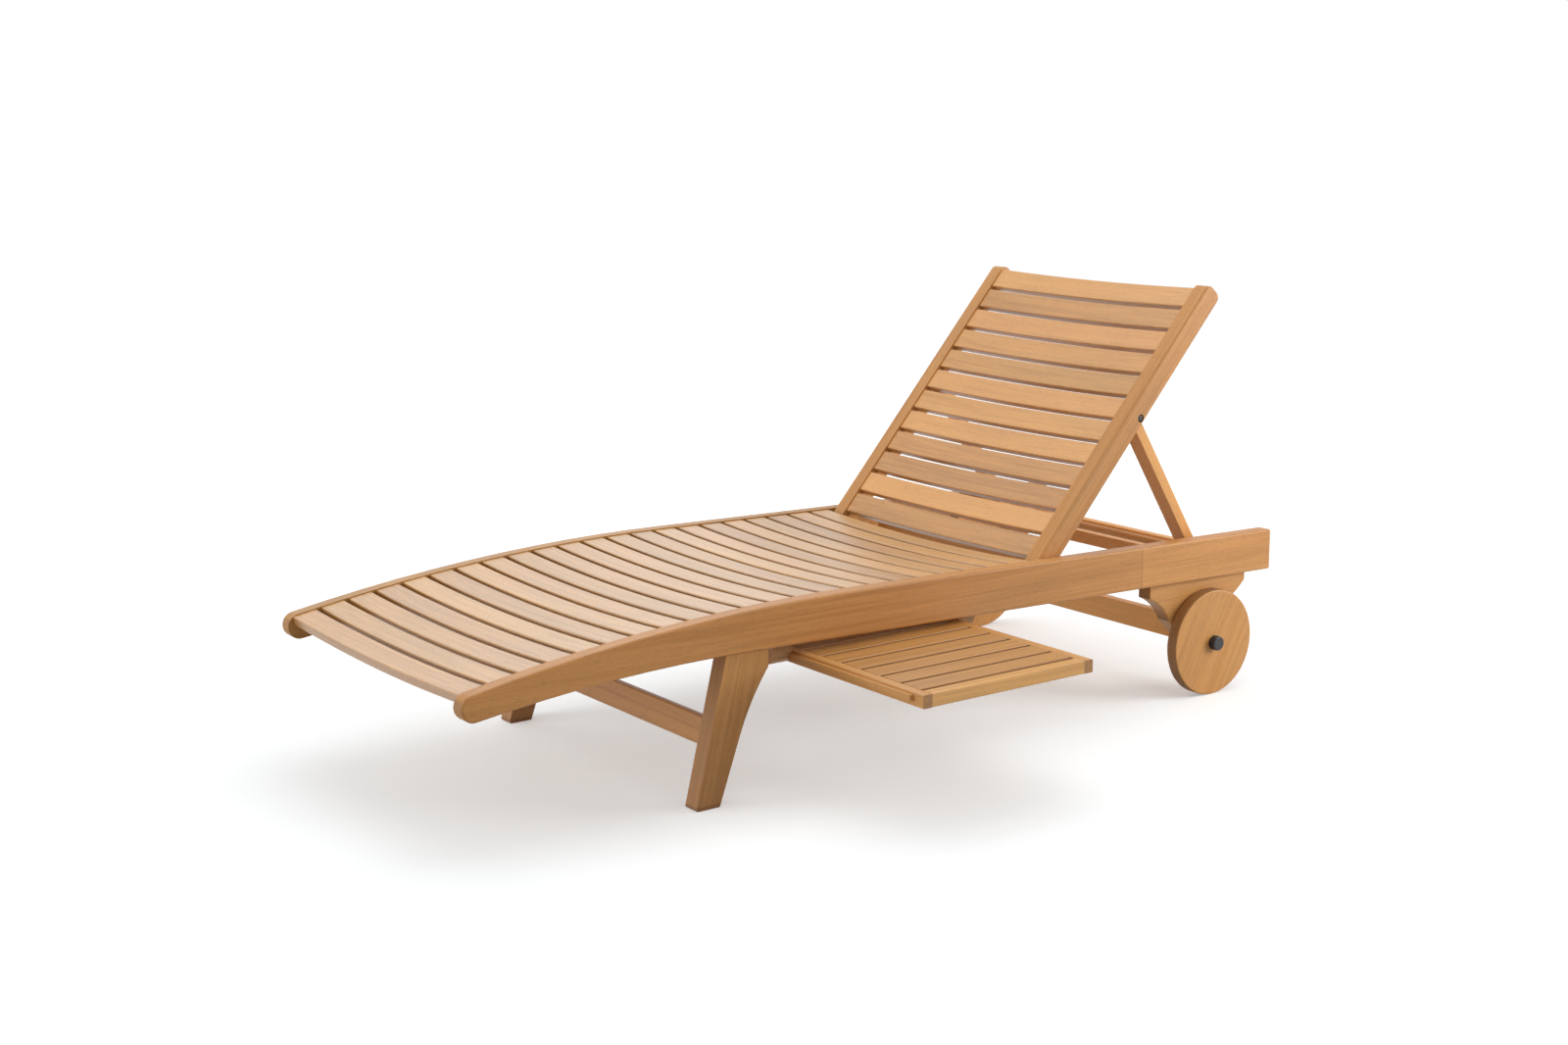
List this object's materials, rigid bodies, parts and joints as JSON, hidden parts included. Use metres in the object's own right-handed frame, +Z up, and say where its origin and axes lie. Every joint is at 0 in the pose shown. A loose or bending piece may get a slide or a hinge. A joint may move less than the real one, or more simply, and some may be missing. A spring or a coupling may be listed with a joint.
{
  "type": "sun lounger",
  "caption": "Slatted wooden sun lounger with dished slats, a back that reclines on a folding prop, a pull-out side tray and wheels at the head end.",
  "frame": {"origin": "on the floor under the middle of the side rails", "axes": "+Y along the lounger towards the head end, +X across towards the side where the tray pulls out, +Z up"},
  "size_m": [1.0935, 1.9, 0.842],
  "materials": {
    "frame_wood": "oiled, straight grained hardwood",
    "slat_wood": "oiled, straight grained hardwood",
    "wheel_wood": "oiled hardwood disc",
    "steel": "bright steel",
    "hub_plastic": "matte black"
  },
  "bodies": {
    "base": {"axle": "steel", "backrest_pivot_pins": "steel", "front_stretcher": "frame_wood", "head_cross_rail": "frame_wood", "hub_caps": "hub_plastic", "left_bracket": "frame_wood", "left_leg": "frame_wood", "left_rail": "frame_wood", "prop_cross_rail": "frame_wood", "ratchet_strips": "frame_wood", "rear_stretcher": "frame_wood", "right_bracket": "frame_wood", "right_leg": "frame_wood", "right_rail": "frame_wood", "seat_cross_rail": "frame_wood", "seat_slat_01": "slat_wood", "seat_slat_02": "slat_wood", "seat_slat_03": "slat_wood", "seat_slat_04": "slat_wood", "seat_slat_05": "slat_wood", "seat_slat_06": "slat_wood", "seat_slat_07": "slat_wood", "seat_slat_08": "slat_wood", "seat_slat_09": "slat_wood", "seat_slat_10": "slat_wood", "seat_slat_11": "slat_wood", "seat_slat_12": "slat_wood", "seat_slat_13": "slat_wood", "seat_slat_14": "slat_wood", "seat_slat_15": "slat_wood", "seat_slat_16": "slat_wood", "seat_slat_17": "slat_wood", "seat_slat_18": "slat_wood", "seat_slat_19": "slat_wood", "seat_slat_20": "slat_wood", "seat_slat_21": "slat_wood", "seat_slat_22": "slat_wood", "tray_runners": "frame_wood"},
    "backrest": {"back_slat_01": "slat_wood", "back_slat_02": "slat_wood", "back_slat_03": "slat_wood", "back_slat_04": "slat_wood", "back_slat_05": "slat_wood", "back_slat_06": "slat_wood", "back_slat_07": "slat_wood", "back_slat_08": "slat_wood", "back_slat_09": "slat_wood", "back_slat_10": "slat_wood", "back_slat_11": "slat_wood", "back_slat_12": "slat_wood", "left_stile": "frame_wood", "prop_bolts": "steel", "right_stile": "frame_wood"},
    "prop": {"left_prop_leg": "frame_wood", "prop_foot_bar": "frame_wood", "right_prop_leg": "frame_wood"},
    "tray": {"tray_battens": "frame_wood", "tray_slats": "slat_wood"},
    "left_wheel": {"left_wheel": "wheel_wood"},
    "right_wheel": {"right_wheel": "wheel_wood"}
  },
  "joints": [
    {"name": "backrest_recline", "type": "hinge", "parent": "base", "child": "backrest", "pos_m": [0, 0.3349, 0.31718], "axis": [1, 0, 0], "range_deg": [-49.65, 0]},
    {"name": "prop_fold", "type": "hinge", "parent": "backrest", "child": "prop", "pos_m": [0, 0.59315, 0.58974], "axis": [1, 0, 0], "range_deg": [0, 106.7]},
    {"name": "tray_slide", "type": "slide", "parent": "base", "child": "tray", "axis": [1, 0, 0], "range_m": [-0.35, 0]},
    {"name": "left_wheel_spin", "type": "hinge", "parent": "base", "child": "left_wheel", "pos_m": [0.36, 0.772, 0.1105], "axis": [1, 0, 0], "continuous": true},
    {"name": "right_wheel_spin", "type": "hinge", "parent": "base", "child": "right_wheel", "pos_m": [-0.36, 0.772, 0.1105], "axis": [1, 0, 0], "continuous": true}
  ],
  "couplings": [
    {"joint": "prop_fold", "follows": "backrest_recline", "ratio": -2.1456}
  ]
}
